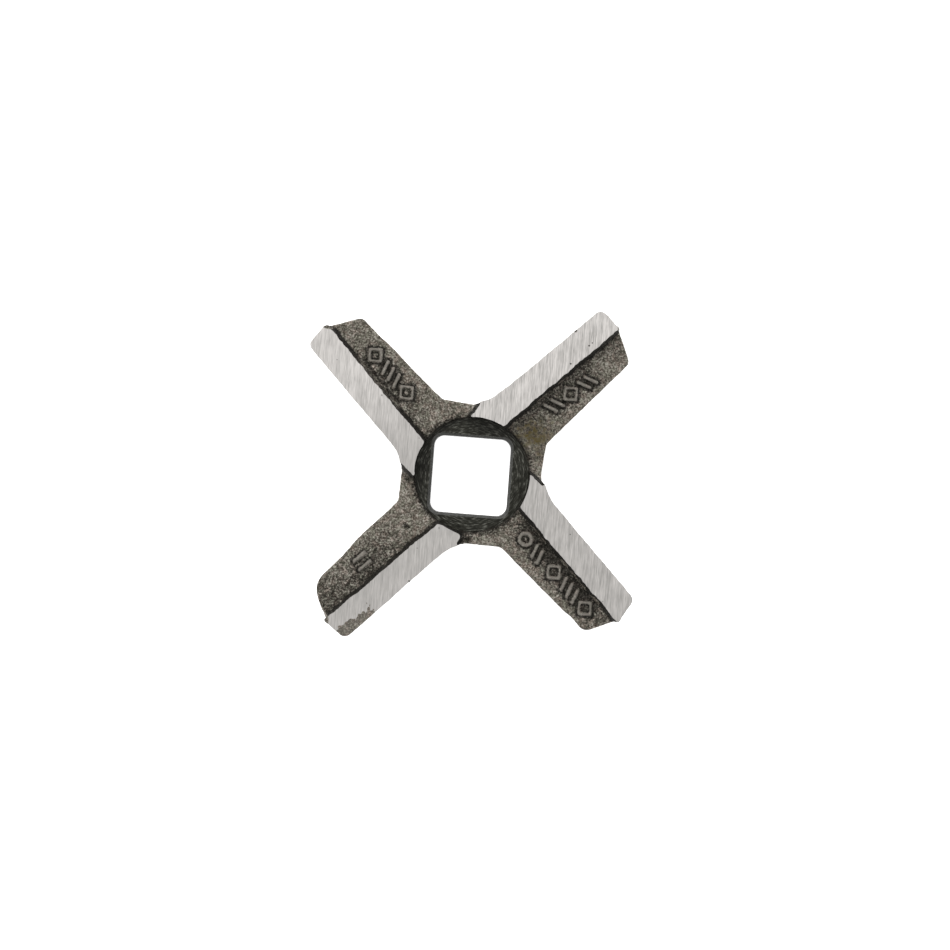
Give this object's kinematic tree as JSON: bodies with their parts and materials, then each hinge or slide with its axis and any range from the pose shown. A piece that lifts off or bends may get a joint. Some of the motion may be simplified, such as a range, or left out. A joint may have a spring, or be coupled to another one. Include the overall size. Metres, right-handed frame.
{
  "type": "meat grinder knife",
  "caption": "Flat cross-shaped meat grinder knife: swept arms with ground lands for the hole plate, round back boss and a square drive hole.",
  "frame": {"origin": "on the axis of the square drive hole, at the back face of the hub", "axes": "+Z along the drive axis towards the ground lands; +X and +Y square to the flats of the drive hole, with the arms between them"},
  "size_m": [0.0556, 0.0561, 0.011],
  "materials": {
    "cast_steel": "rough cast, with ground lands"
  },
  "bodies": {
    "root": {"grinder_knife": "cast_steel"}
  },
  "joints": []
}
